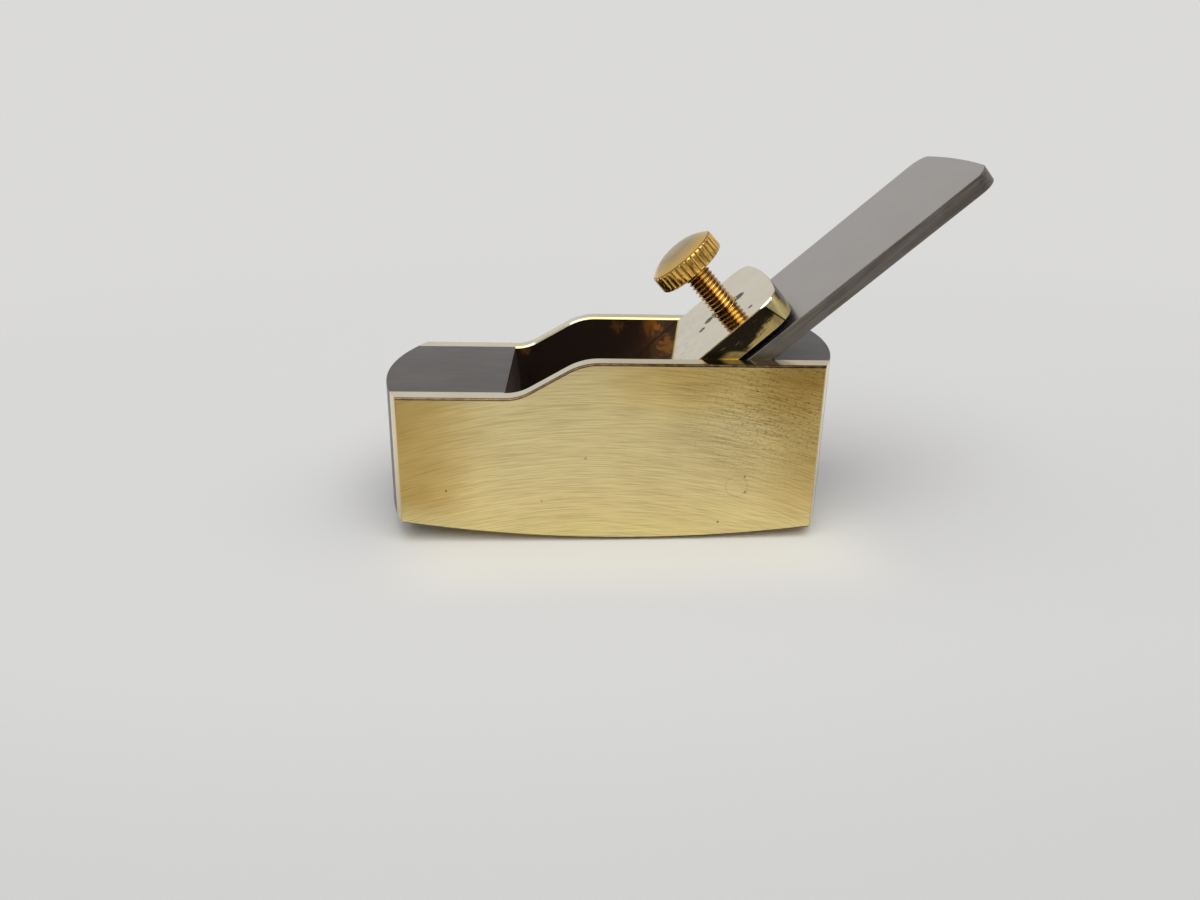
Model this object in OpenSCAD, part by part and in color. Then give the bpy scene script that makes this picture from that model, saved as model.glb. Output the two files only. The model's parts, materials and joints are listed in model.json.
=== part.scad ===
// A small finger plane: two steel blocks held between two brass sides by
// flush rivets, a blade on a sloping bed, and a brass lever cap that a
// knurled screw rocks against the blade.
// The origin is the lowest point of the crowned sole. The toe points to -X,
// the heel and the blade's upper end point to +X, and +Z is up.

/* [Body] */
// Length of each brass side along its flat outer face
side_l = 60; // [54:1:72]
// Width over the two brass sides
body_w = 32; // [24:1:40]
// Thickness of each brass side
side_t = 3; // [2:0.25:4]
// Height of the toe deck above the sole's lowest point
toe_h = 21.8; // [18:0.2:23]
// Height of the heel deck above the sole's lowest point
heel_h = 27; // [26:0.2:32]
// How far the rounded ends stand out past the corners of the sides
end_bulge = 3.4; // [1:0.2:6]
// How far the middle of the body lies ahead of the sole's lowest point
body_ahead = 1.2; // [0:0.2:3]

/* [Sole] */
// Radius of the sole along the body
sole_long_r = 210; // [150:10:400]
// Radius of the sole across the body
sole_cross_r = 330; // [250:10:600]

/* [Step in the sides] */
// Slope of the step from the toe deck up to the heel deck
step_angle = 30; // [20:1:40]
// How far the middle of the step lies ahead of the sole's lowest point
step_ahead = 9.6; // [8:0.2:11]
// Radius of the hollow at the foot of the step
step_foot_r = 7; // [2:0.5:8]
// Radius of the round at the top of the step
step_top_r = 9; // [2:0.5:10]

/* [Bed and mouth] */
// Slope of the bed that carries the blade
bed_angle = 41.4; // [38:0.2:45]
// How far the blade's cutting line lies ahead of the sole's lowest point
edge_ahead = 12.2; // [10:0.2:14]
// Width of the mouth in front of the cutting line
mouth_gap = 1.2; // [0.6:0.1:2.5]
// Lean of the toe block's rear face away from the blade
toe_lean = 7; // [0:0.5:12]
// Running gap between the blade and its bed
bed_gap = 0.02; // [0.01:0.01:0.1]

/* [Blade] */
// Length of the blade from its cutting edge to its upper end
blade_l = 81; // [70:1:95]
// Thickness of the blade
blade_t = 2.4; // [1.5:0.1:3]
// Gap between the blade and each brass side
blade_side_gap = 0.2; // [0.1:0.05:0.5]
// Angle of the ground bevel
bevel_angle = 30; // [25:1:35]
// Radius of the blade's gently curved upper end
blade_end_r = 150; // [60:10:300]
// Radius of the blade's two upper corners
blade_corner_r = 2.8; // [1:0.2:6]
// How far the cutting edge is drawn back from the sole
edge_back = 0.15; // [0.1:0.05:0.5]

/* [Lever cap] */
// Length of the lever cap from its nose to its upper end
cap_l = 42.5; // [38:0.5:46]
// Thickness of the lever cap
cap_t = 4.2; // [3.8:0.1:5]
// Gap between the lever cap and each brass side
cap_side_gap = 0.2; // [0.1:0.05:0.5]
// Distance from the cutting line up the blade to the cap's nose
nose_up = 8; // [7:0.5:10]
// Angle that opens between the blade and the cap above the nose
cap_rise = 0.8; // [0.6:0.1:2]
// Gap between the nose and the blade
nose_gap = 0.02; // [0.01:0.01:0.1]
// Thickness of the nose at its front
nose_t = 1.6; // [1:0.1:2.5]
// Length of the slope that thins the nose
nose_l = 2.5; // [1.5:0.1:3]
// Radius of the cap's gently curved upper end
cap_end_r = 70; // [40:5:150]
// Radius of the cap's two upper corners
cap_corner_r = 3.5; // [1:0.5:6]

/* [Pivot] */
// Diameter of the pin that the cap rocks on
pivot_d = 2.4; // [1.6:0.1:2.6]
// Distance from the nose to the pin
pivot_up = 7.5; // [5:0.5:9]
// Radial running gap between the pin and the cap
pivot_gap = 0.05; // [0.02:0.01:0.1]

/* [Cap screw] */
// Outside diameter of the thread
thread_d = 4; // [3:0.5:5]
// Pitch of the thread
thread_pitch = 0.7; // [0.5:0.1:0.8]
// Radial gap between the thread and its hole in the cap
thread_gap = 0.06; // [0.02:0.01:0.1]
// Distance from the nose to the screw
screw_up = 34.7; // [30:0.5:36]
// Length of thread between the cap and the head
thread_shown = 7.7; // [6:0.1:11]
// Gap between the screw's end and the blade
screw_gap = 0.02; // [0.01:0.01:0.1]
// Depth that the stud reaches into the head
stud_in_head = 2.2; // [1.5:0.1:2.5]
// Radial gap between the stud and its hole in the head
stud_gap = 0.02; // [0.01:0.01:0.1]
// Depth of the chamfer round the mouth of the screw's hole
hole_chamfer = 0.3; // [0.1:0.05:0.5]

/* [Screw head] */
// Diameter of the head over its grooves
head_d = 10.8; // [8:0.2:13]
// Height of the grooved rim
head_t = 2.9; // [2.5:0.1:4]
// Rise of the domed top above the rim
dome_h = 1.4; // [0.3:0.1:2]
// Number of grooves round the rim
groove_count = 36; // [24:1:48]
// Depth of each groove
groove_depth = 0.2; // [0.1:0.02:0.34]
// Chamfer at both edges of the rim
head_chamfer = 0.3; // [0.1:0.05:0.5]

/* [Rivets] */
// Diameter of the rivets
rivet_d = 3.2; // [2:0.2:4]
// Distance from the front rivet of the toe back from the toe's corner
toe_front_in = 4.5; // [3:0.5:6]
// Distance from the rear rivet of the toe back from the toe's corner
toe_rear_in = 11.5; // [10:0.5:12]
// Height of the two rivets of the toe
toe_rivet_h = 11; // [8:0.5:14]
// Distance from the front rivet of the heel forward from the heel's corner
heel_front_in = 26.3; // [24:0.5:27]
// Height of the front rivet of the heel
heel_front_h = 5.2; // [4:0.2:6]
// Distance from the rear rivet of the heel forward from the heel's corner
heel_rear_in = 11.3; // [6:0.5:14]
// Height of the rear rivet of the heel
heel_rear_h = 8.8; // [6:0.2:12]

/* [Hidden] */
$fn = 96;
// Sides of the widest circles, which would be coarse with the count above.
wide_fn = 720;
// Cutters reach this far past what they cut.
over = 1;
brass = "#c9a34a";
polished_brass = "#e0cf95";
ground_steel = "#67625f";
blade_steel = "#948e88";

inner_w = body_w - 2 * side_t;
toe_x = -body_ahead - side_l / 2;
heel_x = -body_ahead + side_l / 2;
end_r = (body_w * body_w / 4 + end_bulge * end_bulge) / (2 * end_bulge);
edge_x = -edge_ahead;
mouth_x = edge_x - mouth_gap;

// The bed's surface meets the level of the origin here.
bed_drop = blade_t + bed_gap;
bed_foot_x = edge_x + bed_drop / sin(bed_angle);

// The step is a straight slope with a tangent arc at each end.
step_foot_x = -step_ahead - (heel_h - toe_h) / 2 / tan(step_angle) - step_foot_r * tan(step_angle / 2);
step_top_x = -step_ahead + (heel_h - toe_h) / 2 / tan(step_angle) + step_top_r * tan(step_angle / 2);

// Distance up the bed from the cutting line to where the blade's upper
// face leaves the crowned sole.
sole_rise_at_edge = sole_long_r - sqrt(sole_long_r * sole_long_r - edge_x * edge_x);
edge_up = sole_rise_at_edge / sin(bed_angle) + edge_back;

blade_w = inner_w - 2 * blade_side_gap;
cap_w = inner_w - 2 * cap_side_gap;
screw_under = nose_gap + screw_up * sin(cap_rise) - screw_gap;
stud_l = screw_under + cap_t + thread_shown + stud_in_head;
thread_depth = 0.61 * thread_pitch;
dome_r = ((head_d / 2 - head_chamfer) * (head_d / 2 - head_chamfer) + dome_h * dome_h) / (2 * dome_h);

// Turns a side view, drawn with X along the body and Y up, into a slab
// of the given width that is centred on the body.
module slab(width) {
    translate([0, width / 2, 0])
        rotate([90, 0, 0])
            linear_extrude(width)
                children();
}

// Plan of the whole body: a rectangle with a round at each end.
module body_plan() {
    translate([toe_x, -body_w / 2])
        square([side_l, body_w]);
    intersection() {
        translate([toe_x - end_bulge + end_r, 0])
            circle(end_r, $fn = wide_fn);
        translate([toe_x - end_bulge - over, -body_w / 2])
            square([end_bulge + over, body_w]);
    }
    intersection() {
        translate([heel_x + end_bulge - end_r, 0])
            circle(end_r, $fn = wide_fn);
        translate([heel_x, -body_w / 2])
            square([end_bulge + over, body_w]);
    }
}

// Everything above the crowned sole: a wheel lying across the body, whose
// rim is rounded to the radius of the sole across the body.
module above_sole() {
    translate([0, 0, sole_long_r])
        rotate([90, 0, 0])
            rotate_extrude($fn = wide_fn)
                intersection() {
                    translate([sole_long_r - sole_cross_r, 0])
                        circle(sole_cross_r, $fn = wide_fn);
                    translate([0, -body_w])
                        square([sole_long_r + over, 2 * body_w]);
                }
}

// The space that the body may fill: inside its plan and above its sole.
module body_space() {
    intersection() {
        linear_extrude(heel_h + over)
            body_plan();
        above_sole();
    }
}

// Side view of a brass side, with the step down to the toe. At each end of
// the step, the corner is where the two lines that the arc joins would meet.
module side_view() {
    front = toe_x - end_bulge - over;
    back = heel_x + end_bulge + over;
    foot = [step_foot_x, toe_h];
    foot_corner = foot + [step_foot_r * tan(step_angle / 2), 0];
    foot_centre = foot + [0, step_foot_r];
    slope_foot = foot + step_foot_r * [sin(step_angle), 1 - cos(step_angle)];
    top = [step_top_x, heel_h];
    top_corner = top - [step_top_r * tan(step_angle / 2), 0];
    top_centre = top - [0, step_top_r];
    slope_top = top - step_top_r * [sin(step_angle), 1 - cos(step_angle)];
    difference() {
        polygon([[front, -over], [back, -over], [back, heel_h], top, slope_top,
                 slope_foot, foot, [front, toe_h]]);
        intersection() {
            translate(foot_centre)
                circle(step_foot_r);
            polygon([foot, foot_corner, slope_foot, foot_centre]);
        }
    }
    intersection() {
        translate(top_centre)
            circle(step_top_r);
        polygon([top, top_corner, slope_top, top_centre]);
    }
}

// A pin or hole across the body at [x, z].
module across(place, diameter, length) {
    translate([place[0], length / 2, place[1]])
        rotate([90, 0, 0])
            cylinder(h = length, d = diameter);
}

toe_rivets = [[toe_x + toe_front_in, toe_rivet_h], [toe_x + toe_rear_in, toe_rivet_h]];
heel_rivets = [[heel_x - heel_front_in, heel_front_h], [heel_x - heel_rear_in, heel_rear_h]];

// Centre of the pivot pin, seen from the side.
function up_bed(s, n) = [edge_x + s * cos(bed_angle) - n * sin(bed_angle),
                         s * sin(bed_angle) + n * cos(bed_angle)];
function up_cap(s, n) = up_bed(nose_up, nose_gap)
    + s * [cos(bed_angle + cap_rise), sin(bed_angle + cap_rise)]
    + n * [-sin(bed_angle + cap_rise), cos(bed_angle + cap_rise)];
pivot = up_cap(pivot_up, cap_t / 2);

// One brass side. The sign says on which side of the body it lies.
module side_plate(sign) {
    difference() {
        intersection() {
            translate([0, sign * (body_w - side_t) / 2, 0])
                slab(side_t)
                    side_view();
            body_space();
        }
        for (place = concat(toe_rivets, heel_rivets))
            across(place, rivet_d, body_w + over);
        across(pivot, pivot_d, body_w + over);
    }
}

module near_side_plate() {
    color(brass)
        side_plate(-1);
}

module far_side_plate() {
    color(brass)
        side_plate(1);
}

module toe_block() {
    color(ground_steel)
        difference() {
            intersection() {
                slab(inner_w)
                    polygon([[toe_x - end_bulge - over, -over],
                             [mouth_x + over * tan(toe_lean), -over],
                             [mouth_x - toe_h * tan(toe_lean), toe_h],
                             [toe_x - end_bulge - over, toe_h]]);
                body_space();
            }
            for (place = toe_rivets)
                across(place, rivet_d, body_w);
        }
}

module heel_block() {
    color(ground_steel)
        difference() {
            intersection() {
                slab(inner_w)
                    polygon([[bed_foot_x - over / tan(bed_angle), -over],
                             [heel_x + end_bulge + over, -over],
                             [heel_x + end_bulge + over, heel_h],
                             [bed_foot_x + heel_h / tan(bed_angle), heel_h]]);
                body_space();
            }
            for (place = heel_rivets)
                across(place, rivet_d, body_w);
        }
}

// A rivet reaches from one outer face of the body to the other.
module rivet(place) {
    color(brass)
        across(place, rivet_d, body_w);
}

module toe_front_rivet() {
    rivet(toe_rivets[0]);
}

module toe_rear_rivet() {
    rivet(toe_rivets[1]);
}

module heel_front_rivet() {
    rivet(heel_rivets[0]);
}

module heel_rear_rivet() {
    rivet(heel_rivets[1]);
}

module cap_pivot_pin() {
    color(brass)
        across(pivot, pivot_d, body_w);
}

// Moves to the cutting line, with X up the bed and Z out of the blade.
module on_bed() {
    translate([edge_x, 0, 0])
        rotate([0, -bed_angle, 0])
            children();
}

// Moves to the cap's nose, with X up the cap and Z out of its face.
module on_cap() {
    on_bed()
        translate([nose_up, 0, nose_gap])
            rotate([0, -cap_rise, 0])
                children();
}

// Outline of the blade and of the lever cap, seen from above. The upper end
// is a wide arc that runs into a small round at each corner.
module round_ended(length, width, end_r, corner_r) {
    end_x = length - end_r;
    corner_y = width / 2 - corner_r;
    reach = end_r - corner_r;
    corner_x = end_x + sqrt(reach * reach - corner_y * corner_y);
    arc_end = [end_x, 0] + [corner_x - end_x, corner_y] * end_r / reach;
    translate([0, -width / 2])
        square([corner_x, width]);
    intersection() {
        translate([end_x, 0])
            circle(end_r, $fn = wide_fn);
        polygon([[0, 0], [corner_x, -corner_y], [arc_end[0], -arc_end[1]],
                 [length + over, -arc_end[1]], [length + over, arc_end[1]],
                 arc_end, [corner_x, corner_y]]);
    }
    for (side = [-1, 1])
        translate([corner_x, side * corner_y])
            circle(corner_r);
}

module blade() {
    bevel_l = blade_t / tan(bevel_angle);
    color(blade_steel)
        intersection() {
            on_bed()
                translate([edge_up, 0, 0])
                    intersection() {
                        translate([0, 0, -blade_t])
                            linear_extrude(blade_t)
                                round_ended(blade_l, blade_w, blade_end_r, blade_corner_r);
                        slab(blade_w)
                            polygon([[0, 0], [blade_l, 0], [blade_l, -blade_t],
                                     [bevel_l, -blade_t]]);
                    }
            translate([edge_back * cos(bed_angle), 0, edge_back * sin(bed_angle)])
                above_sole();
        }
}

module lever_cap() {
    bore_d = thread_d + 2 * thread_gap;
    color(polished_brass)
        on_cap()
            difference() {
                intersection() {
                    linear_extrude(cap_t)
                        round_ended(cap_l, cap_w, cap_end_r, cap_corner_r);
                    slab(cap_w)
                        polygon([[0, 0], [cap_l, 0], [cap_l, cap_t], [nose_l, cap_t],
                                 [0, nose_t]]);
                }
                translate([pivot_up, cap_w / 2 + over, cap_t / 2])
                    rotate([90, 0, 0])
                        cylinder(h = cap_w + 2 * over, d = pivot_d + 2 * pivot_gap);
                translate([screw_up, 0, -over])
                    cylinder(h = cap_t + 2 * over, d = bore_d);
                translate([screw_up, 0, cap_t - hole_chamfer])
                    cylinder(h = hole_chamfer, d1 = bore_d, d2 = bore_d + 2 * hole_chamfer);
            }
}

// Moves to the screw's lower end, with Z up its axis.
module on_screw() {
    on_cap()
        translate([screw_up, 0, -screw_under])
            children();
}

// Plan of the screw's head: a disc with a notch for each groove.
module head_plan() {
    notch = groove_depth * sqrt(2);
    difference() {
        circle(head_d / 2);
        for (i = [0 : groove_count - 1])
            rotate(i * 360 / groove_count)
                translate([head_d / 2, 0])
                    rotate(45)
                        square(notch, center = true);
    }
}

// Half section of the head: chamfered rim under a shallow dome.
module head_section() {
    r = head_d / 2;
    c = head_chamfer;
    polygon([[0, 0], [r - c, 0], [r, c], [r, head_t - c], [r - c, head_t], [0, head_t]]);
    intersection() {
        translate([0, head_t + dome_h - dome_r])
            circle(dome_r);
        translate([0, head_t])
            square([r, dome_h]);
    }
}

module screw_head() {
    color(brass)
        on_screw()
            translate([0, 0, stud_l - stud_in_head])
                difference() {
                    intersection() {
                        linear_extrude(head_t + dome_h)
                            head_plan();
                        rotate_extrude()
                            head_section();
                    }
                    translate([0, 0, -over])
                        cylinder(h = stud_in_head + over, d = thread_d + 2 * stud_gap);
                }
}

// The stud. Its thread is drawn as a row of ridges, one for each turn,
// below the plain end that sits in the head.
module screw_stud() {
    ridge_n = floor((stud_l - stud_in_head) / thread_pitch);
    crest = thread_d / 2;
    root = crest - thread_depth;
    top = stud_l - stud_in_head;
    ridges = [for (i = [0 : ridge_n - 1]) each [[root, top - i * thread_pitch],
                                                [crest, top - (i + 0.5) * thread_pitch]]];
    color(brass)
        on_screw()
            rotate_extrude()
                polygon(concat([[0, stud_l], [crest, stud_l], [crest, top]], ridges,
                               [[root, 0], [0, 0]]));
}

near_side_plate();
far_side_plate();
toe_block();
heel_block();
toe_front_rivet();
toe_rear_rivet();
heel_front_rivet();
heel_rear_rivet();
cap_pivot_pin();
lever_cap();
screw_head();
screw_stud();
blade();
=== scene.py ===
import json
import math
import random

import bmesh
import bpy
from mathutils import Matrix, Vector

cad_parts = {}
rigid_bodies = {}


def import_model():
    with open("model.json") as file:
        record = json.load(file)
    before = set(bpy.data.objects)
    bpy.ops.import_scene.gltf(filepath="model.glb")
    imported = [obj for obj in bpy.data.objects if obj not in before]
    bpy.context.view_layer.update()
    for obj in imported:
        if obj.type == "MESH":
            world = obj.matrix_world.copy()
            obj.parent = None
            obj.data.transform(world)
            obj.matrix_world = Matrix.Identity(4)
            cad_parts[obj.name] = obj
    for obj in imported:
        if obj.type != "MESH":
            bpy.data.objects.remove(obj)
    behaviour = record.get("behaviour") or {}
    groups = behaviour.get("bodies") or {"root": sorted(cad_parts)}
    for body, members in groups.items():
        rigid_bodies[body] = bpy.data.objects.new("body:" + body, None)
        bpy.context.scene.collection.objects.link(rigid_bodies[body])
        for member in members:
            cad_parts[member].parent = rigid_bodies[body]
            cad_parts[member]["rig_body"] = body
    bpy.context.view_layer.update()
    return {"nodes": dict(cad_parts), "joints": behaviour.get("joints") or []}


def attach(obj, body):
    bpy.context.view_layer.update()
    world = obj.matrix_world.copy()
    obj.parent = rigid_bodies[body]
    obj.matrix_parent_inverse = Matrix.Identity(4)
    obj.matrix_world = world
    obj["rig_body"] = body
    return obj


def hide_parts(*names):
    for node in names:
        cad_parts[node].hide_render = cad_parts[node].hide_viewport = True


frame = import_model()

MM = 0.001
random.seed(7)

# Sizes, all in millimetres, as the part's source has them.
BODY_W = 32.0
BODY_MIDDLE = -1.2
SIDE_L = 60.0
SIDE_T = 3.0
TOE_H = 21.8
HEEL_H = 27.0
SOLE_R = 210.0
BED_ANGLE = math.radians(41.4)
CAP_T = 4.2
THREAD_D = 4.0
THREAD_PITCH = 0.7
THREAD_DEPTH = 0.43
STUD_IN_HEAD = 2.2
HEAD_D = 10.8
HEAD_T = 2.9
DOME_H = 1.4
GROOVES = 36
GROOVE_DEPTH = 0.2
# Holes of the rivets and the pin in the sides, as (x, z, radius).
HOLES = [
    (-26.7, 11.0, 1.6),
    (-19.7, 11.0, 1.6),
    (2.5, 5.2, 1.6),
    (17.5, 8.8, 1.6),
    (-2.067, 11.899, 1.2),
]
# The rivet that shows as a faint ring.
SHOWN_RIVET_AT = (17.5, 8.8)
SHOWN_RIVET_R = 1.6

# Widths of the arrises, which only the scene has.
NEAR_TOP_ARRIS = 0.34
FAR_TOP_ARRIS = 0.14
THROAT_ARRIS = 0.27
SIDE_ARRIS = 0.2
BLOCK_ARRIS = 0.12
BLADE_ARRIS = 0.14
CAP_TOP_ARRIS = 0.16
CAP_UNDER_ARRIS = 0.42
HEAD_ARRIS = 0.3
STUD_END_BEVEL = 0.45

# The cap screw's axis, and the point where it leaves the cap's face.
SCREW_JOINT = next(j for j in frame["joints"] if j["name"] == "screw_turn")
SCREW_AXIS = Vector(SCREW_JOINT["axis"]).normalized()
BORE_AT = Vector(SCREW_JOINT["pos_m"]) / MM
ACROSS = Vector((0, 1, 0))
TO_SIDE = ACROSS.cross(SCREW_AXIS)
UP_CAP = Vector((SCREW_AXIS.z, 0, -SCREW_AXIS.x))


class Nodes:
    """A short way to write node trees. An input is a value, or another node's output."""

    def __init__(self, tree):
        self.tree = tree
        self.tree.nodes.clear()

    def add(self, kind, inputs=None, **settings):
        """Makes one node and returns it."""
        made = self.tree.nodes.new("ShaderNode" + kind)
        for name, value in settings.items():
            setattr(made, name, value)
        for key, value in (inputs or {}).items():
            self.put(made.inputs[key], value)
        return made

    def put(self, socket, value):
        """Sets a socket to a value, or links it to an output."""
        if isinstance(value, bpy.types.NodeSocket):
            self.tree.links.new(value, socket)
        elif isinstance(value, bpy.types.Node):
            self.tree.links.new(value.outputs[0], socket)
        else:
            socket.default_value = value

    def math(self, operation, a, b=0.0, clamp=False):
        """One Math node's output."""
        made = self.add("Math", {0: a, 1: b}, operation=operation)
        made.use_clamp = clamp
        return made.outputs[0]

    def chain(self, operation, values, clamp=False):
        """A row of Math nodes that joins two or more values."""
        made = values[0]
        for value in values[1:-1]:
            made = self.math(operation, made, value)
        return self.math(operation, made, values[-1], clamp)

    def sum(self, *values, clamp=False):
        """The sum of the values."""
        return self.chain("ADD", values, clamp)

    def product(self, *values, clamp=False):
        """The product of the values."""
        return self.chain("MULTIPLY", values, clamp)

    def less(self, a, b):
        """What is left of a without b."""
        return self.math("SUBTRACT", a, b)

    def ramp(self, value, low, high):
        """0 below low and 1 above high, smooth between. High may be the lower number."""
        made = self.add(
            "MapRange",
            {"Value": value, "From Min": low, "From Max": high, "To Min": 0.0, "To Max": 1.0},
            interpolation_type="SMOOTHSTEP",
        )
        return made.outputs["Result"]

    def mix(self, factor, a, b):
        """A colour between a at 0 and b at 1."""
        made = self.add("Mix", data_type="RGBA")
        self.put(made.inputs["Factor"], factor)
        self.put(made.inputs[6], a)
        self.put(made.inputs[7], b)
        return made.outputs[2]

    def noise(self, vector, scale=1.0, detail=2.0, rough=0.5, distortion=0.0):
        """A Noise node's value."""
        made = self.add(
            "TexNoise",
            {"Vector": vector, "Scale": scale, "Detail": detail, "Roughness": rough,
             "Distortion": distortion},
        )
        return made.outputs["Fac"]

    def vector(self, x, y, z=0.0):
        """A vector from three numbers or outputs."""
        return self.add("CombineXYZ", {0: x, 1: y, 2: z}).outputs[0]

    def place(self):
        """X, Y and Z of the shaded point in the object's frame, in millimetres."""
        coords = self.add("TexCoord").outputs["Object"]
        scaled = self.add("VectorMath", {0: coords, "Scale": 1.0 / MM}, operation="SCALE")
        return self.add("SeparateXYZ", {0: scaled.outputs[0]}).outputs

    def distance(self, a, b, centre=(0.0, 0.0)):
        """Distance of the point (a, b) from a centre."""
        da = self.less(a, centre[0])
        db = self.less(b, centre[1])
        return self.math("SQRT", self.sum(self.product(da, da), self.product(db, db)))

    def spot(self, a, b, centre, inner, outer):
        """1 within the inner radius of a centre, falling to 0 at the outer radius."""
        return self.ramp(self.distance(a, b, centre), outer, inner)


def rgb(red, green, blue):
    """A colour as a socket takes it."""
    return (red, green, blue, 1.0)


BLACK = rgb(0.0, 0.0, 0.0)


def metal(name):
    """A new metallic material, its nodes, its shader and its place in millimetres."""
    made = bpy.data.materials.new(name)
    made.use_nodes = True
    nodes = Nodes(made.node_tree)
    shader = nodes.add("BsdfPrincipled", {"Metallic": 1.0})
    nodes.add("OutputMaterial", {"Surface": shader.outputs[0]})
    return made, nodes, shader, nodes.place()


def coat(nodes, shader, colour, rough, height, strength, depth):
    """Gives a shader its colour, its roughness and a bump of a depth in millimetres."""
    nodes.put(shader.inputs["Base Color"], colour)
    nodes.put(shader.inputs["Roughness"], rough)
    made = nodes.add("Bump", {"Height": height, "Strength": strength, "Distance": depth * MM})
    nodes.put(shader.inputs["Normal"], made.outputs["Normal"])


def brush(shader, strength):
    """Stretches a shader's highlights across its fine lines."""
    shader.inputs["Anisotropic"].default_value = strength
    shader.inputs["Anisotropic Rotation"].default_value = 0.25


def arc_lines(n, x, z, centre, along, across, detail=2.0, rough=0.55):
    """Noise drawn out along arcs round a centre, like the marks of abrasive paper."""
    away = n.distance(x, z, centre)
    angle = n.math("ARCTAN2", n.less(x, centre[0]), n.less(z, centre[1]))
    turn = n.product(angle, -centre[1])
    return n.noise(
        n.vector(n.product(turn, along), n.product(away, across)), detail=detail, rough=rough
    )


def cap_frame(n, x, z):
    """Distance up the cap from the screw, and height over the cap's face."""
    dx = n.less(x, BORE_AT.x)
    dz = n.less(z, BORE_AT.z)
    along = n.sum(n.product(dx, UP_CAP.x), n.product(dz, UP_CAP.z))
    height = n.sum(n.product(dx, SCREW_AXIS.x), n.product(dz, SCREW_AXIS.z))
    return along, height


def from_screw(n, x, y, z):
    """Distance from the screw's axis."""
    return n.distance(cap_frame(n, x, z)[0], y)


# Abrasive paper was drawn over the sides in arcs round these points.
BRUSH_CENTRES = [(-3.6, -72.0), (7.0, -150.0)]
# Small marks on the sides, as (x, z, radius, strength).
SIDE_MARKS = [
    (-24.6, 7.8, 0.22, 0.9),
    (-4.5, 13.0, 0.30, 0.35),
    (-10.8, 6.3, 0.20, 0.4),
    (15.1, 3.1, 0.24, 0.7),
    (18.6, 10.3, 0.26, 0.6),
    (18.8, 7.9, 0.26, 0.5),
]
# Scuffs on the cap's face, as ((distance up the cap from the screw, y), reach).
SCUFFS = [
    ((2.55, -0.6), 2.3),
    ((-3.0, 0.0), 1.9),
    ((3.0, -8.9), 0.9),
    ((-4.7, -1.8), 1.3),
    ((-1.6, 1.4), 1.2),
]
# Painted amber reflections on the inner faces of the sides, as ((x, z), reach, strength).
PAINTED_AMBER_REFLECTIONS = [
    ((1.2, 25.6), 2.6, 0.5),
    ((6.7, 25.6), 3.0, 0.6),
    ((10.6, 21.8), 2.2, 0.9),
    ((10.6, 24.5), 2.6, 0.5),
    ((-14.4, 21.2), 1.6, 0.7),
    ((-4.0, 26.0), 3.0, 0.3),
]


def painted_side_shade(n, x, z):
    """How much painted shade darkens a side: at both ends, along its top, in the heel's corner
    and, more weakly, over its upper heel half.
    """
    top = n.product(n.ramp(z, 21.0, 26.0), n.ramp(x, -12.0, 6.0), 0.22)
    heel = n.product(n.ramp(x, 16.0, 30.0), n.ramp(z, 0.0, 9.0), 0.34)
    corner = n.product(n.spot(x, z, (23.5, 23.5), 1.0, 7.5), 0.34)
    toe = n.product(n.ramp(x, -18.0, -30.5), 0.62)
    centre = n.product(n.ramp(x, -4.0, 12.0), n.ramp(z, 6.0, 13.0), 0.16)
    return n.sum(top, heel, corner, toe, centre)


def side_tone(n, x, z):
    """The brass of a side without its lines, with its painted shade and a painted reflection of
    the paper along its foot.
    """
    cloud = n.noise(n.vector(x, z), scale=0.13, detail=3.0)
    # Painted shade at the ends, along the top and in the heel's corner, with random cloudy patches
    # of a darker tone.
    dark = n.sum(painted_side_shade(n, x, z), n.product(n.less(cloud, 0.5), 0.45), clamp=True)
    # Painted shade: the top and both ends are painted a deeper gold than the paler middle.
    warm_top = n.product(n.ramp(z, 17.0, 24.0), n.ramp(x, -6.0, 8.0))
    warm_ends = n.sum(n.ramp(x, -15.0, -29.0), n.product(n.ramp(x, 16.0, 28.0), 0.6))
    warm = n.sum(warm_top, warm_ends, clamp=True)
    unshaded_unscuffed = n.mix(warm, rgb(1.0, 0.83, 0.42), rgb(1.0, 0.76, 0.29))
    tone = n.mix(dark, unshaded_unscuffed, rgb(0.50, 0.31, 0.075))
    # Painted reflection: the side is painted paler towards its foot, where it mirrors the pale
    # paper.
    return n.mix(n.ramp(z, 7.0, 0.5), tone, rgb(1.0, 0.86, 0.44))


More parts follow.
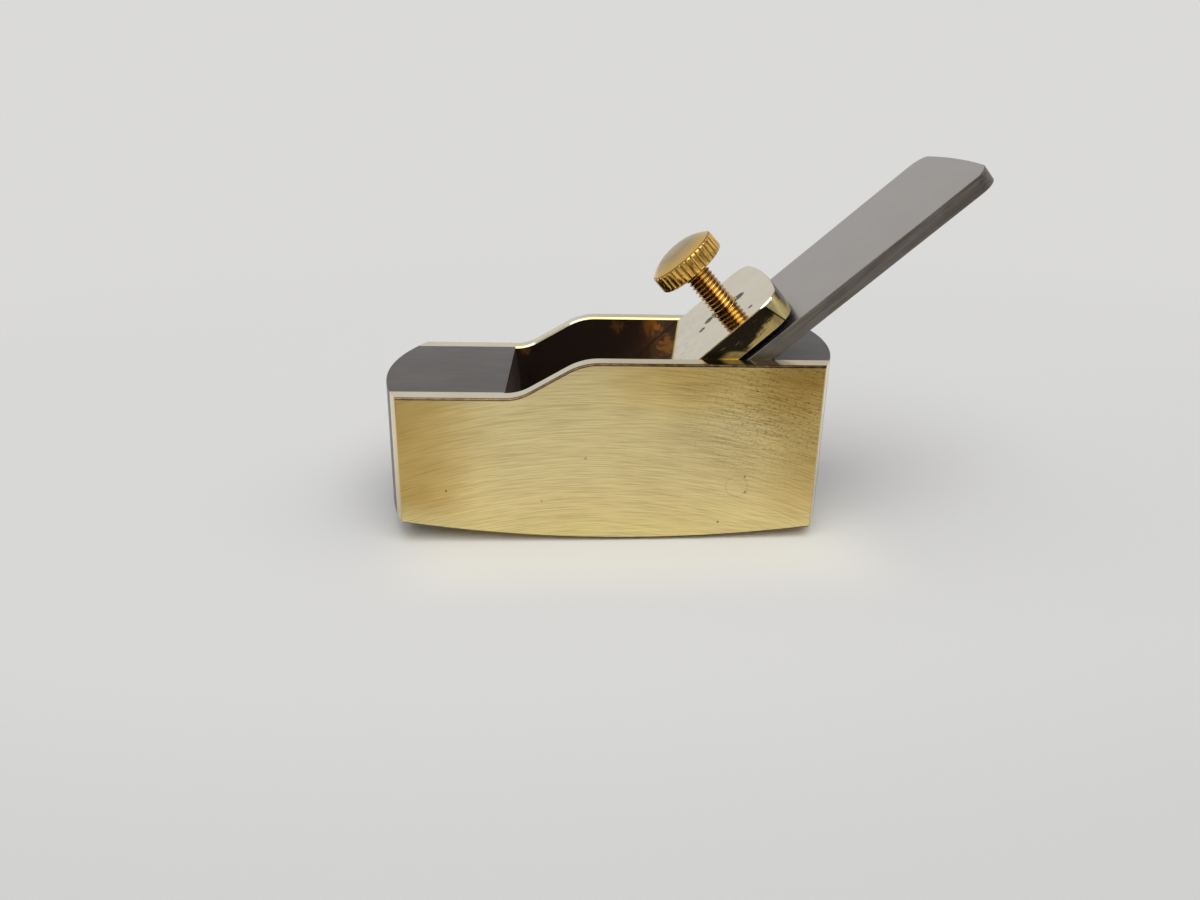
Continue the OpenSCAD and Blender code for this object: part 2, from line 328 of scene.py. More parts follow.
def brushed_side():
    """Brass brushed in wide arcs, with a few small marks and the faint ring of a rivet, over a
    tone with painted shade and a painted reflection.
    """
    made, n, shader, (x, y, z) = metal("brass_brushed_in_arcs")
    fine = arc_lines(n, x, z, BRUSH_CENTRES[0], 0.17, 5.2, rough=0.6)
    crossing = arc_lines(n, x, z, BRUSH_CENTRES[1], 0.12, 4.4, rough=0.6)
    broad = arc_lines(n, x, z, BRUSH_CENTRES[0], 0.05, 0.9)
    grit = n.noise(n.vector(x, z), scale=2.3, detail=3.0, rough=0.7)
    lines = n.sum(
        n.product(n.ramp(fine, 0.30, 0.60), 0.6), n.product(n.ramp(crossing, 0.30, 0.60), 0.4)
    )
    # Towards the heel's upper corner the lines are deeper, with grit between them.
    rough_end = n.product(n.ramp(x, 4.0, 24.0), n.ramp(z, 6.0, 20.0))
    line_depth = n.sum(n.product(rough_end, 0.35), 0.38)
    shade = n.sum(
        n.product(n.less(1.0, lines), line_depth),
        n.product(n.ramp(broad, 0.62, 0.30), 0.06),
        n.product(n.ramp(grit, 0.52, 0.30), rough_end, 0.5),
    )
    for mark_x, mark_z, size, strength in SIDE_MARKS:
        mark = n.spot(x, z, (mark_x, mark_z), size * 0.4, size)
        shade = n.sum(shade, n.product(mark, strength))
    ring = n.math("ABSOLUTE", n.less(n.distance(x, z, SHOWN_RIVET_AT), SHOWN_RIVET_R))
    shade = n.sum(shade, n.product(n.ramp(ring, 0.22, 0.04), 0.10), clamp=True)
    colour = n.mix(shade, side_tone(n, x, z), rgb(0.22, 0.135, 0.04))
    rough = n.sum(n.product(fine, 0.12), 0.24)
    coat(n, shader, colour, rough, n.sum(fine, crossing), 0.35, 0.012)
    brush(shader, 0.5)
    return made


def polished(name, tone, deep, rough, slow_scale=0.22, heelward=None):
    """Polished brass with a few fine scratches, and perhaps another tone on the heel's half."""
    made, n, shader, (x, y, z) = metal(name)
    slow = n.noise(n.vector(x, y, z), scale=slow_scale)
    lines = n.noise(
        n.vector(n.product(n.sum(x, z), 4.0), n.product(y, 0.35), n.product(n.less(z, x), 4.0)),
        detail=3.0, rough=0.7,
    )
    colour = n.mix(n.ramp(slow, 0.25, 0.8), rgb(*tone), rgb(*deep))
    if heelward:
        colour = n.mix(n.ramp(x, -7.0, 1.0), colour, rgb(*heelward))
    rough = n.sum(n.product(n.ramp(lines, 0.55, 0.8), 0.10), rough)
    coat(n, shader, colour, rough, lines, 0.25, 0.004)
    return made


def dark_arris():
    """Arrises painted dark as painted shade, darker towards the heel, with random mottled patches.
    """
    made, n, shader, (x, y, z) = metal("brass_dark_arris")
    mottle = n.noise(n.vector(x, y, z), scale=0.9, detail=3.0, rough=0.65)
    heelward = n.product(n.ramp(x, -14.0, 6.0), 0.75)
    patches = n.product(n.ramp(mottle, 0.60, 0.35), 0.4)
    painted_arris_shade = n.sum(heelward, patches, clamp=True)
    colour = n.mix(painted_arris_shade, rgb(0.24, 0.17, 0.10), rgb(0.055, 0.032, 0.014))
    rough = n.sum(n.product(mottle, 0.2), 0.14)
    coat(n, shader, colour, rough, mottle, 0.3, 0.02)
    return made


def cap_face():
    """The cap's mirror face, scuffed beside the screw and finely scratched lower down."""
    made, n, shader, (x, y, z) = metal("brass_mirror")
    along, height = cap_frame(n, x, z)
    slant = n.sum(y, n.product(along, 0.25))
    slow = n.noise(n.vector(x, y, z), scale=0.22)
    unshaded_unscuffed = n.mix(n.ramp(slow, 0.25, 0.8), rgb(0.83, 0.755, 0.60), rgb(0.77, 0.69, 0.53))
    ragged = n.noise(n.vector(along, n.product(slant, 2.6)), scale=1.5, detail=4.0, rough=0.75)
    wear_and_painted_glint = [n.spot(along, y, at, 0.0, reach) for at, reach in SCUFFS]
    scuffs = n.ramp(n.sum(*wear_and_painted_glint, ragged), 1.02, 1.12)
    lines = n.noise(n.vector(n.product(along, 0.7), n.product(slant, 3.6)), detail=3.0, rough=0.65)
    scratches = n.product(n.ramp(lines, 0.57, 0.70), n.ramp(along, -1.0, -9.0), 0.6)
    dark = n.math("MAXIMUM", scuffs, scratches)
    colour = n.mix(dark, unshaded_unscuffed, rgb(0.06, 0.04, 0.02))
    rough = n.sum(n.product(dark, 0.3), 0.06)
    coat(n, shader, colour, rough, lines, 0.10, 0.004)
    return made


def cap_flank():
    """The cap's filed sides, painted as what they mirror: painted dark with mottled gold streaks
    above, and a painted gold reflection below.
    """
    made, n, shader, (x, y, z) = metal("brass_filed")
    along, height = cap_frame(n, x, z)
    streak = n.noise(
        n.vector(n.product(along, 0.7), n.product(height, 2.4), n.product(y, 0.6)),
        detail=5.0, rough=0.75, distortion=0.5,
    )
    # The painted gold reflection is wider towards the cap's upper end.
    level = n.sum(height, n.product(n.less(streak, 0.5), 3.4))
    edge = n.sum(n.product(along, 0.30), -3.25)
    painted_bright_band = n.ramp(n.less(level, edge), 0.5, -0.6)
    streaks = n.product(n.ramp(streak, 0.60, 0.74), 0.45)
    # A thin strip just above the side is painted gold as a painted reflection of the side's top.
    foot = n.product(n.ramp(z, 28.3, 27.7), n.ramp(height, -1.6, -2.6))
    # At the corner a crisp slanted band is painted gold as the glint of a filed facet, with a
    # painted dark line before it.
    corner = n.sum(along, n.product(height, 0.285))
    wear_and_painted_glint = n.product(n.ramp(corner, 4.46, 4.56), n.ramp(along, 6.9, 6.3))
    line = n.ramp(n.math("ABSOLUTE", n.less(corner, 4.38)), 0.16, 0.06)
    # Painted shade: the end is painted dark, most of all near the face.
    ended = n.product(n.ramp(along, 6.4, 7.2), n.ramp(n.sum(height, streak), -2.7, -1.9))
    gold = n.chain("MAXIMUM", (painted_bright_band, streaks, foot, wear_and_painted_glint))
    gold = n.product(gold, n.less(1.0, n.product(line, 0.9)), n.less(1.0, n.product(ended, 0.9)))
    golden = n.mix(wear_and_painted_glint, rgb(0.74, 0.56, 0.21), rgb(0.92, 0.77, 0.36))
    colour = n.mix(gold, rgb(0.034, 0.024, 0.014), golden)
    rough = n.sum(n.product(streak, 0.2), 0.16)
    coat(n, shader, colour, rough, streak, 0.5, 0.02)
    return made


def throat_wall():
    """The polished inner faces of the sides, painted dark as the throat's shade, with painted
    amber reflections.
    """
    made, n, shader, (x, y, z) = metal("brass_polished_inside")
    patch = n.noise(
        n.vector(n.product(x, 1.2), y, n.product(z, 0.6)), scale=1.2, detail=6.0, rough=0.75
    )
    spots = n.sum(*[
        n.product(n.spot(x, z, at, 0.0, reach), strength) for at, reach, strength in PAINTED_AMBER_REFLECTIONS
    ])
    ragged = n.sum(spots, n.product(n.less(patch, 0.5), 2.0))
    amber = n.product(
        n.ramp(ragged, 0.26, 0.50), n.sum(n.product(spots, 0.55), 0.45), clamp=True
    )
    # Painted shade darkens the walls, with the painted amber reflections over it.
    colour = n.mix(amber, rgb(0.17, 0.11, 0.085), rgb(0.90, 0.40, 0.10))
    rough = n.sum(n.product(patch, 0.08), 0.10)
    coat(n, shader, colour, rough, patch, 0.2, 0.02)
    shader.inputs["Metallic"].default_value = 0.90
    return made


def ground_steel(name, tone, deep, rough, angle, line):
    """Ground steel whose fine lines run at an angle in the side view."""
    made, n, shader, (x, y, z) = metal(name)
    along = n.sum(n.product(x, math.cos(angle)), n.product(z, math.sin(angle)))
    over = n.less(n.product(z, math.cos(angle)), n.product(x, math.sin(angle)))
    fine = n.noise(
        n.vector(n.product(along, 0.14), n.product(y, line), n.product(over, line)),
        detail=3.0, rough=0.6,
    )
    cloud = n.noise(n.vector(x, y, z), scale=0.16, detail=3.0, rough=0.55)
    speck = n.ramp(n.noise(n.vector(x, y, z), scale=2.8), 0.72, 0.80)
    shade = n.sum(n.product(fine, 0.65), n.product(cloud, 0.35))
    colour = n.mix(n.ramp(shade, 0.34, 0.66), rgb(*deep), rgb(*tone))
    colour = n.mix(n.product(speck, 0.4), colour, rgb(*[part * 0.5 for part in deep]))
    coat(n, shader, colour, n.sum(n.product(fine, 0.12), rough), fine, 0.25, 0.01)
    brush(shader, 0.4)
    n.put(shader.inputs["Tangent"], n.add("Tangent", direction_type="RADIAL", axis="Y"))
    return made


def thread_brass():
    """Brass of the thread: golden on the crests, with brown painted shade in the roots."""
    made, n, shader, (x, y, z) = metal("brass_thread")
    radius = from_screw(n, x, y, z)
    cloud = n.noise(n.vector(x, y, z), scale=1.2, detail=4.0, rough=0.65)
    crest = n.ramp(n.sum(radius, n.product(n.less(cloud, 0.5), 0.3)), 1.56, 1.96)
    # Painted highlight: one band along the screw is painted brighter than the rest, which is
    # painted darker as shade.
    along, height = cap_frame(n, x, z)
    painted_bright_band = n.product(n.ramp(along, 0.0, 0.5), n.ramp(along, 1.45, 0.95))
    root = n.mix(painted_bright_band, rgb(0.20, 0.085, 0.03), rgb(0.62, 0.36, 0.09))
    top = n.mix(painted_bright_band, rgb(0.60, 0.37, 0.13), rgb(1.0, 0.80, 0.32))
    rough = n.sum(n.product(cloud, 0.12), 0.08)
    coat(n, shader, n.mix(crest, root, top), rough, cloud, 0.15, 0.02)
    return made


def knurled_brass():
    """Brass of the knurled rim: golden on the lands, with brown painted shade in the grooves."""
    made, n, shader, (x, y, z) = metal("brass_knurl")
    radius = from_screw(n, x, y, z)
    cloud = n.noise(n.vector(x, y, z), scale=0.9, detail=4.0, rough=0.65)
    land = n.product(
        n.ramp(radius, HEAD_D / 2 - GROOVE_DEPTH * 1.05, HEAD_D / 2 - 0.03),
        n.ramp(cloud, 0.22, 0.55),
    )
    colour = n.mix(land, rgb(0.34, 0.16, 0.04), rgb(0.95, 0.60, 0.15))
    rough = n.sum(n.product(cloud, 0.16), 0.14)
    coat(n, shader, colour, rough, cloud, 0.15, 0.02)
    return made


def turned_face():
    """The head's domed face, with the fine rings that turning leaves and a painted golden
    reflection on its shoulder.
    """
    made, n, shader, (x, y, z) = metal("brass_turned_face")
    radius = from_screw(n, x, y, z)
    cloud = n.noise(n.vector(x, y, z), scale=0.35, detail=3.0)
    rings = n.noise(n.vector(n.product(radius, 5.0), n.product(cloud, 0.6)))
    shade = n.sum(n.product(rings, 0.5), n.product(cloud, 0.5))
    wear_and_painted_glint = n.mix(n.ramp(shade, 0.32, 0.66), rgb(0.43, 0.32, 0.17), rgb(0.54, 0.42, 0.235))
    # Painted reflection: the dome's shoulder is painted more golden than its middle.
    shoulder = n.ramp(radius, HEAD_D * 0.26, HEAD_D * 0.48)
    colour = n.mix(shoulder, wear_and_painted_glint, rgb(0.76, 0.50, 0.17))
    rough = n.sum(n.product(rings, 0.12), 0.18)
    coat(n, shader, colour, rough, rings, 0.25, 0.01)
    return made


# Materials
SIDE = brushed_side()
TOP = polished(
    "brass_polished", (0.80, 0.72, 0.52), (0.72, 0.63, 0.43), 0.10, heelward=(0.62, 0.52, 0.31)
)
END = polished("brass_polished_end", (0.68, 0.52, 0.24), (0.62, 0.46, 0.20), 0.12)
YELLOW = polished("brass_polished_yellow", (0.90, 0.76, 0.34), (0.82, 0.66, 0.26), 0.10)
DARK = dark_arris()
INNER = throat_wall()
CAP = cap_face()
CAP_SIDE = cap_flank()
# Painted shade: the cap's upper arrises are given a darker brass than its face.
CAP_ARRIS = polished(
    "brass_cap_arris", (0.62, 0.46, 0.19), (0.22, 0.15, 0.06), 0.12, slow_scale=0.5
)
BLOCK = ground_steel(
    "steel_ground_dark", (0.168, 0.154, 0.146), (0.104, 0.094, 0.088), 0.34, 0.0, 3.4
)
BLADE = ground_steel(
    "steel_ground_light", (0.455, 0.43, 0.41), (0.42, 0.395, 0.375), 0.26, BED_ANGLE, 3.2
)
BLADE_EDGE = ground_steel(
    "steel_ground_edge", (0.27, 0.245, 0.21), (0.17, 0.15, 0.125), 0.32, BED_ANGLE, 2.6
)
THREAD = thread_brass()
KNURL = knurled_brass()
FACE = turned_face()


def flat_merged(node):
    """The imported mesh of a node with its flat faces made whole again."""
    bm = bmesh.new()
    bm.from_mesh(frame["nodes"][node].data)
    bmesh.ops.remove_doubles(bm, verts=bm.verts, dist=1e-6)
    bmesh.ops.dissolve_limit(
        bm, angle_limit=math.radians(0.25), verts=bm.verts, edges=bm.edges
    )
    return bm


def finished(bm, name, node, pick):
    """Turns an edited mesh into a piece that stands for a node. Pick gives a face's material."""
    mesh = bpy.data.meshes.new(name)
    bm.normal_update()
    materials = []
    for face in bm.faces:
        chosen = pick(face)
        if chosen not in materials:
            materials.append(chosen)
            mesh.materials.append(chosen)
        face.material_index = materials.index(chosen)
        face.smooth = True
    bm.to_mesh(mesh)
    bm.free()
    if "custom_normal" in mesh.attributes:
        mesh.attributes.remove(mesh.attributes["custom_normal"])
    mesh.set_sharp_from_angle(angle=math.radians(38))
    piece = bpy.data.objects.new(name, mesh)
    bpy.context.scene.collection.objects.link(piece)
    weighted = piece.modifiers.new("weighted", "WEIGHTED_NORMAL")
    weighted.keep_sharp = True
    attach(piece, frame["nodes"][node]["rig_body"])
    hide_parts(node)


def bevel(bm, chosen, width, segments=3):
    """Rounds the chosen sharp edges over, or cuts them off with one segment."""
    edges = [
        e for e in bm.edges
        if len(e.link_faces) == 2 and e.calc_face_angle(0) > math.radians(30) and chosen(e)
    ]
    bmesh.ops.bevel(
        bm, geom=edges, offset=width * MM, offset_type="OFFSET", segments=segments, profile=0.5,
        affect="EDGES", clamp_overlap=False, loop_slide=True,
    )


def middle(edge):
    """The middle of an edge, in millimetres."""
    return (edge.verts[0].co + edge.verts[1].co) / 2 / MM


def cut_at(bm, at, normal, **settings):
    """Cuts a mesh with a plane through a point in millimetres, and returns the new edges."""
    everything = bm.verts[:] + bm.edges[:] + bm.faces[:]
    cut = bmesh.ops.bisect_plane(
        bm, geom=everything, plane_co=at * MM, plane_no=normal, **settings
    )
    return [e for e in cut["geom_cut"] if isinstance(e, bmesh.types.BMEdge)]


def reach_at(node, height, pick):
    """The lowest or highest X of a node's vertices at one height."""
    places = [v.co / MM for v in frame["nodes"][node].data.vertices]
    return pick(at.x for at in places if abs(at.z - height) < 0.02)


THROAT_FRONT = reach_at("toe_block", TOE_H, max)
THROAT_BACK = reach_at("heel_block", HEEL_H, min)


def in_hole(at):
    """Whether a point of a side lies on the rim of a hole."""
    return any(abs(math.hypot(at.x - x, at.z - z) - r) < 0.15 for x, z, r in HOLES)


def side_plate(node, sign, top_arris, lower_and_outer_arris_material):
    """A brass side: brushed outside, polished on its edges and inside, its arrises rounded, with
    painted shade inside and on the near side's lower and outer top arrises.
    """
    bm = flat_merged(node)
    for x in (THROAT_FRONT, THROAT_BACK):
        cut_at(bm, Vector((x, 0, 0)), (1, 0, 0))
    outer, inner = BODY_W / 2, BODY_W / 2 - SIDE_T

    def lies_at(edge, y):
        return all(abs(abs(v.co.y) / MM - y) < 0.01 for v in edge.verts)

    def on_top(edge):
        at = middle(edge)
        return at.z > 20 and abs(at.x - BODY_MIDDLE) < SIDE_L / 2 - 0.1

    def outside(edge):
        return lies_at(edge, outer) and not in_hole(middle(edge))

    def inside(edge):
        at = middle(edge)
        return lies_at(edge, inner) and at.z > 20 and THROAT_FRONT < at.x < THROAT_BACK

    def around(edge):
        return (outside(edge) or inside(edge)) and not on_top(edge)

    bevel(bm, lambda edge: outside(edge) and on_top(edge), top_arris)
    bevel(bm, lambda edge: inside(edge) and on_top(edge), THROAT_ARRIS, 1)
    bevel(bm, around, SIDE_ARRIS)

    def pick(face):
        out = face.normal.y * sign
        level = abs(face.normal.y) < 0.15
        if out > 0.97:
            return SIDE
        if out < -0.97:
            return INNER
        # Downward arrises and the outer top arris take the given arris material, which on the near
        # side is the painted shade of DARK.
        if face.normal.z < -0.1 and not level:
            return lower_and_outer_arris_material
        if face.normal.z < 0.2:
            return END
        if level:
            return TOP
        if abs(face.calc_center_median().y) / MM > BODY_W / 2 - 1:
            return lower_and_outer_arris_material
        # The throat's arris shines where it is level; there it is given the yellower brass as a
        # painted highlight.
        return TOP if abs(face.normal.x) > 0.12 else YELLOW

    finished(bm, node + "_bevelled", node, pick)


def steel_block(node, top, at_end):
    """A steel block with the arris of its free end just broken."""
    bm = flat_merged(node)

    def arris(edge):
        at = middle(edge)
        return abs(at.z - top) < 0.02 and at_end(at.x) and abs(at.y) < 12.9

    bevel(bm, arris, BLOCK_ARRIS)
    finished(bm, node + "_ground", node, lambda face: BLOCK)


def blade_piece():
    """The blade, with its arrises broken."""
    bm = flat_merged("blade")
    bevel(bm, lambda edge: middle(edge).z > 3.5, BLADE_ARRIS)
    over_bed = Vector((-math.sin(BED_ANGLE), 0, math.cos(BED_ANGLE)))

    def pick(face):
        return BLADE if abs(face.normal.dot(over_bed)) > 0.8 else BLADE_EDGE

    finished(bm, "blade_ground", "blade", pick)


# A facet filed on the cap's near upper corner: its place up the cap, its Y and its direction.
FACET_UP = 4.75
FACET_Y = -12.30
FACET_NORMAL = Vector((-0.15, -0.74, 0.65)).normalized()


def cap_piece():
    """The lever cap, mirror polished on top and filed on its sides, with painted reflections on
    its sides and painted shade on its arrises.
    """
    bm = flat_merged("lever_cap")

    def height(edge):
        return (middle(edge) - BORE_AT).dot(SCREW_AXIS)

    def arris(edge):
        from_bore = middle(edge) - BORE_AT - height(edge) * SCREW_AXIS
        return from_bore.length > 3.0 and middle(edge).z > 14

    bevel(bm, lambda edge: arris(edge) and height(edge) < 0.05 - CAP_T, CAP_UNDER_ARRIS, 1)
    bevel(bm, lambda edge: arris(edge) and height(edge) > -1.0, CAP_TOP_ARRIS)
    facet_at = BORE_AT + UP_CAP * FACET_UP + ACROSS * FACET_Y
    rim = cut_at(bm, facet_at, FACET_NORMAL, clear_outer=True)
    bmesh.ops.holes_fill(bm, edges=rim)

    def pick(face):
        over = face.normal.dot(SCREW_AXIS)
        if over > 0.9 or face.normal.dot(FACET_NORMAL) > 0.999:
            return CAP
        if abs(over) < 0.05:
            return CAP_SIDE
        # The upper arrises take the darker brass of painted shade, the lower ones the painted
        # shade of the gap under the cap.
        return CAP_ARRIS if over > 0 else DARK

    finished(bm, "lever_cap_polished", "lever_cap", pick)


def axial(node):
    """The lowest and highest place of a node along the screw, from the joint's point."""
    found = [(v.co / MM - BORE_AT).dot(SCREW_AXIS) for v in frame["nodes"][node].data.vertices]
    return min(found), max(found)


def turned_mesh(rows, angles):
    """A closed mesh of rings round the screw. A row has one (radius, height) for each angle."""
    bm = bmesh.new()
    rings = []
    for row in rows:
        ring = []
        for angle, (radius, height) in zip(angles, row):
            out = TO_SIDE * math.cos(angle) + ACROSS * math.sin(angle)
            at = BORE_AT + SCREW_AXIS * height + out * radius
            ring.append(bm.verts.new(at * MM))
        rings.append(ring)
    count = len(angles)
    for low, high in zip(rings, rings[1:]):
        for i in range(count):
            k = (i + 1) % count
            bm.faces.new((low[i], low[k], high[k], high[i]))
    bm.faces.new(rings[0][::-1])
    bm.faces.new(rings[-1])
    bmesh.ops.recalc_face_normals(bm, faces=bm.faces)
    return bm


def stud_piece():
    """The stud with a true right-hand thread."""
    low, high = axial("screw_stud")
    crest = THREAD_D / 2
    root = crest - THREAD_DEPTH
    shank = crest - 0.03
    thread_top = high - STUD_IN_HEAD
    angles = [2 * math.pi * i / 72 for i in range(72)]

    def threaded(angle, height):
        turn = height / THREAD_PITCH - angle / (2 * math.pi)
        radius = root + THREAD_DEPTH * (0.5 + 0.5 * math.cos(2 * math.pi * turn))
        at_end = root - 0.05 + (height - low) / STUD_END_BEVEL * THREAD_DEPTH
        return min(radius, at_end), height

    heights = []
    height = low
    while height < thread_top:
        heights.append(height)
        height += THREAD_PITCH / 16
    heights.append(thread_top)
    rows = [[threaded(angle, height) for angle in angles] for height in heights]
    for ring in ((root, thread_top + 0.01), (shank, thread_top + 0.02), (shank, high)):
        rows.append([ring] * len(angles))
    bm = turned_mesh(rows, angles)
    finished(bm, "screw_stud_threaded", "screw_stud", lambda face: THREAD)


# A land of the knurl in shares of the pitch from a groove's middle, and the groove itself as
# (share of its half width, share of its depth).
LAND = (-0.5, -0.36, 0.36)
GROOVE = (
    (-1.08, 0.0),
    (-0.90, 0.16),
    (-0.06, 0.97),
    (0.06, 0.97),
    (0.90, 0.16),
    (1.08, 0.0),
)


def head_piece():
    """The knurled head, with straight grooves of slightly uneven depth under a shallow dome."""
    low, high = axial("screw_head")
    radius = HEAD_D / 2
    rim = radius - HEAD_ARRIS
    pitch = 2 * math.pi / GROOVES
    half_width = GROOVE_DEPTH / radius
    columns = []
    for g in range(GROOVES):
        depth = GROOVE_DEPTH * random.uniform(0.84, 1.0)
        columns += [((g + share) * pitch, 0.0) for share in LAND]
        columns += [(g * pitch + share * half_width, part * depth) for share, part in GROOVE]
    columns.sort()

    def knurled(base, height):
        return [(min(base, radius - sunk), height) for angle, sunk in columns]

    def plain(base, height):
        return [(base, height)] * len(columns)

    bore = THREAD_D / 2 + 0.02
    rows = [
        plain(0.05, low + STUD_IN_HEAD + 0.01),
        plain(bore, low + STUD_IN_HEAD),
        plain(bore, low),
        knurled(radius - 0.62, low),
        knurled(radius - 0.34, low + 0.02),
        knurled(radius - 0.10, low + 0.16),
        knurled(radius, low + 0.34),
        knurled(radius, low + HEAD_T * 0.5),
        knurled(radius, low + HEAD_T - 0.34),
        knurled(radius - 0.10, low + HEAD_T - 0.14),
        knurled(rim, low + HEAD_T),
    ]
    # The dome is flatter in the middle and rounder at its shoulder than a ball.
    for share in (0.97, 0.93, 0.88, 0.82, 0.75, 0.66, 0.55, 0.42, 0.28, 0.14, 0.02):
        rows.append(plain(rim * share, low + HEAD_T + DOME_H * (1 - share**2.6)))
    bm = turned_mesh(rows, [angle for angle, sunk in columns])

    def pick(face):
        at = face.calc_center_median() / MM - BORE_AT
        away = (at - at.dot(SCREW_AXIS) * SCREW_AXIS).length
        return FACE if face.normal.dot(SCREW_AXIS) > 0.3 and away < rim else KNURL

    finished(bm, "screw_head_knurled", "screw_head", pick)


# Pieces
side_plate("near_side_plate", -1, NEAR_TOP_ARRIS, DARK)
side_plate("far_side_plate", 1, FAR_TOP_ARRIS, YELLOW)
steel_block("toe_block", TOE_H, lambda x: x < -31.2)
steel_block("heel_block", HEEL_H, lambda x: x > 28.8)
blade_piece()
cap_piece()
stud_piece()
head_piece()

FLUSH_PINS = (
    "toe_front_rivet",
    "toe_rear_rivet",
    "heel_front_rivet",
    "heel_rear_rivet",
    "cap_pivot_pin",
)
for pin in FLUSH_PINS:
    for material_slot in frame["nodes"][pin].material_slots:
        material_slot.material = SIDE

# Stage. The plane rocks back on its crowned sole, so the floor tilts in its frame.
ROCK = math.radians(1.15)
FLOOR_REACH = 4.0
PAPER = rgb(0.88, 0.877, 0.869)
WARM_PAPER = rgb(1.0, 0.985, 0.91)
SHADED_PAPER = rgb(0.03, 0.028, 0.025)
BACKDROP = rgb(0.705, 0.70, 0.692)


def paper():
    """Pale paper that runs into the backdrop, with painted warm light in front of the near side
    and, seen in reflections only, painted shade under the photographer.
    """
    made = bpy.data.materials.new("pale_paper")
    made.use_nodes = True
    n = Nodes(made.node_tree)
    x, y, z = n.place()
    light = n.add("LightPath").outputs
    # Painted light: the paper in front of the near side is painted warmer and paler, as the warm
    # light that the near side throws on it.
    from_middle = n.math("ABSOLUTE", n.sum(x, 1.0))
    warmed = n.product(
        n.ramp(y, -38.0, -20.0), n.ramp(y, 10.0, -8.0), n.ramp(from_middle, 42.0, 24.0)
    )
    colour = n.mix(warmed, PAPER, WARM_PAPER)
    # Nearer to the camera, and wherever it is seen straight, the paper is a little darker.
    darker = n.sum(
        n.product(n.ramp(y, -40.0, -85.0), 0.04), n.product(light["Is Camera Ray"], 0.13)
    )
    colour = n.mix(darker, colour, BLACK)
    # Painted shade under the photographer, seen only in reflections.
    shaded = n.product(
        n.ramp(y, -92.0, -150.0), n.ramp(y, -420.0, -280.0), light["Is Glossy Ray"], 0.5
    )
    colour = n.mix(shaded, colour, SHADED_PAPER)
    diffuse = n.add("BsdfDiffuse", {"Color": colour, "Roughness": 0.6})
    glow = n.add("Emission", {"Color": BACKDROP, "Strength": 1.0})
    away = n.ramp(n.distance(x, y), 90.0, 300.0)
    both = n.add("MixShader", {0: n.product(away, light["Is Camera Ray"]), 1: diffuse, 2: glow})
    n.add("OutputMaterial", {"Surface": both.outputs[0]})
    return made


def floor_piece():
    """The paper's plane, through the point where the sole touches it."""
    mesh = bpy.data.meshes.new("floor")
    corners = [(-1, -1), (1, -1), (1, 1), (-1, 1)]
    mesh.from_pydata(
        [(x * FLOOR_REACH, y * FLOOR_REACH, 0) for x, y in corners], [], [(0, 1, 2, 3)]
    )
    mesh.materials.append(paper())
    made = bpy.data.objects.new("floor", mesh)
    bpy.context.scene.collection.objects.link(made)
    touch = Vector((SOLE_R * math.sin(ROCK), 0, SOLE_R * (1 - math.cos(ROCK)))) * MM
    made.matrix_world = Matrix.Translation(touch) @ Matrix.Rotation(-ROCK, 4, "Y")
    return made


floor = floor_piece()

SKY_LOW = rgb(0.28, 0.28, 0.28)
SKY_HIGH = rgb(0.66, 0.66, 0.66)
ROOM = rgb(0.66, 0.66, 0.655)
DARK_ROOM = rgb(0.10, 0.095, 0.09)
DIM_ROOM = rgb(0.26, 0.25, 0.24)
DARK_ROOM_WAY = (0.03, -0.74, 0.67)


def studio():
    """An even pale room. Polished metal also sees the dark room behind the photographer."""
    made = bpy.data.worlds.new("studio")
    made.use_nodes = True
    n = Nodes(made.node_tree)
    ray = n.add("TexCoord").outputs["Generated"]
    way = n.add("SeparateXYZ", {0: ray}).outputs
    light = n.add("LightPath").outputs
    towards = n.add("VectorMath", {0: ray, 1: DARK_ROOM_WAY}, operation="DOT_PRODUCT")
    room = n.mix(n.ramp(towards.outputs["Value"], 0.62, 0.80), ROOM, DARK_ROOM)
    # The room in front is dim, most of all low over the paper.
    low = n.sum(n.product(n.ramp(way[2], 0.50, 0.20), 0.35), 0.45)
    room = n.mix(n.product(n.ramp(way[1], 0.1, -0.35), low), room, DIM_ROOM)
    # The paper is lit more from straight above than from the sides.
    sky = n.mix(n.ramp(way[2], 0.3, 0.9), SKY_LOW, SKY_HIGH)
    direct = n.math("LESS_THAN", light["Diffuse Depth"], 0.5)
    seen = n.mix(n.product(light["Is Glossy Ray"], direct), sky, room)
    seen = n.mix(light["Is Camera Ray"], seen, BACKDROP)
    background = n.add("Background", {"Color": seen, "Strength": 1.0})
    n.add("OutputWorld", {"Surface": background.outputs[0]})
    return made


bpy.context.scene.world = studio()

# One wide window, drawn as two lamps: one for the paper and one for the metal.
WINDOW_ANGLE = math.radians(64)
PAPER_SUN = 1.30
PAPER_SUN_FROM = (8, -250, 430)
METAL_SUN = 1.55
METAL_SUN_FROM = (-50, -250, 430)


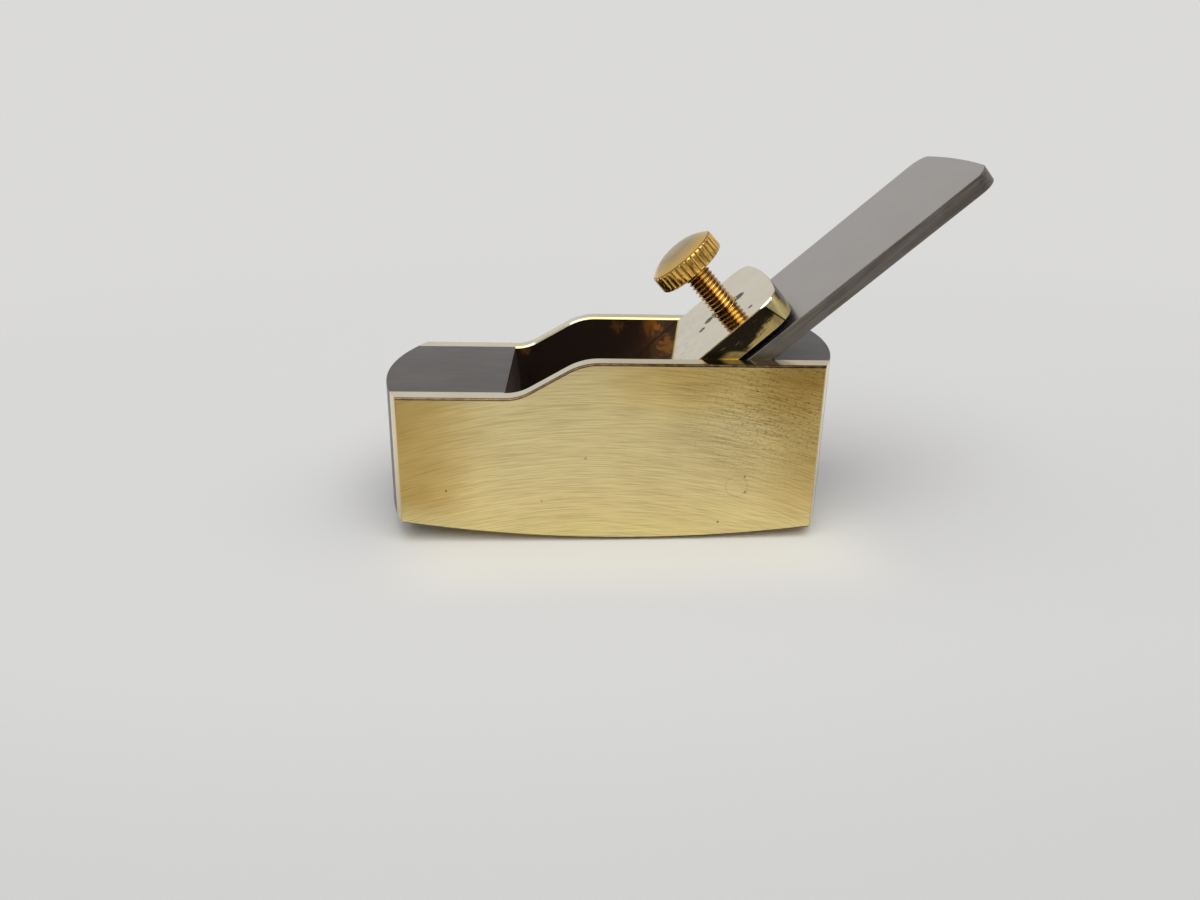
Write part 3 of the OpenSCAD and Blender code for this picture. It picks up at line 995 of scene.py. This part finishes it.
def window(name, energy, place, link_state):
    """A lamp that looks at the origin, and lights the paper only or everything but the paper."""
    data = bpy.data.lights.new(name, "SUN")
    data.energy = energy
    data.angle = WINDOW_ANGLE
    made = bpy.data.objects.new(name, data)
    bpy.context.scene.collection.objects.link(made)
    made.location = Vector(place) * MM
    made.rotation_mode = "QUATERNION"
    made.rotation_quaternion = (-Vector(place)).to_track_quat("-Z", "Y")
    group = bpy.data.collections.new(name + "_link")
    group.objects.link(floor)
    made.light_linking.receiver_collection = group
    group.collection_objects[0].light_linking.link_state = link_state
    return made


def keep_to_first_surface(light):
    """Stops a lamp's light from being thrown on the paper by the polished metal."""
    light.data.use_nodes = True
    n = Nodes(light.data.node_tree)
    path = n.add("LightPath").outputs
    glow = n.add("Emission", {"Strength": n.math("LESS_THAN", path["Diffuse Depth"], 0.5)})
    n.add("OutputLight", {"Surface": glow.outputs[0]})


window("window_on_paper", PAPER_SUN, PAPER_SUN_FROM, "INCLUDE")
keep_to_first_surface(window("window_on_metal", METAL_SUN, METAL_SUN_FROM, "EXCLUDE"))

# The camera was solved from the corners and edges of the body in the photograph.
CAM_AT = (-6.73, -138.64, 60.79)
CAM_YAW, CAM_PITCH, CAM_ROLL = (math.radians(a) for a in (1.99, 20.75, 1.12))
CAM_FOCAL = 920 / 1200
SENSOR_W = 36.0


def camera():
    """The camera at the photograph's place."""
    level = Matrix(((1, 0, 0), (0, 0, -1), (0, 1, 0)))
    yaw = Matrix.Rotation(CAM_YAW, 3, "Z")
    pitch = Matrix.Rotation(CAM_PITCH, 3, "X")
    roll = Matrix.Rotation(CAM_ROLL, 3, "Z")
    right, down, ahead = (roll @ pitch @ level @ yaw).row
    data = bpy.data.cameras.new("camera")
    data.sensor_width = SENSOR_W
    data.lens = SENSOR_W * CAM_FOCAL
    data.clip_start = 0.005
    data.clip_end = 20.0
    made = bpy.data.objects.new("camera", data)
    bpy.context.scene.collection.objects.link(made)
    turn = Matrix((right, -down, -ahead)).transposed()
    made.matrix_world = Matrix.Translation(Vector(CAM_AT) * MM) @ turn.to_4x4()
    bpy.context.scene.camera = made


camera()
bpy.context.scene.view_settings.view_transform = "Standard"
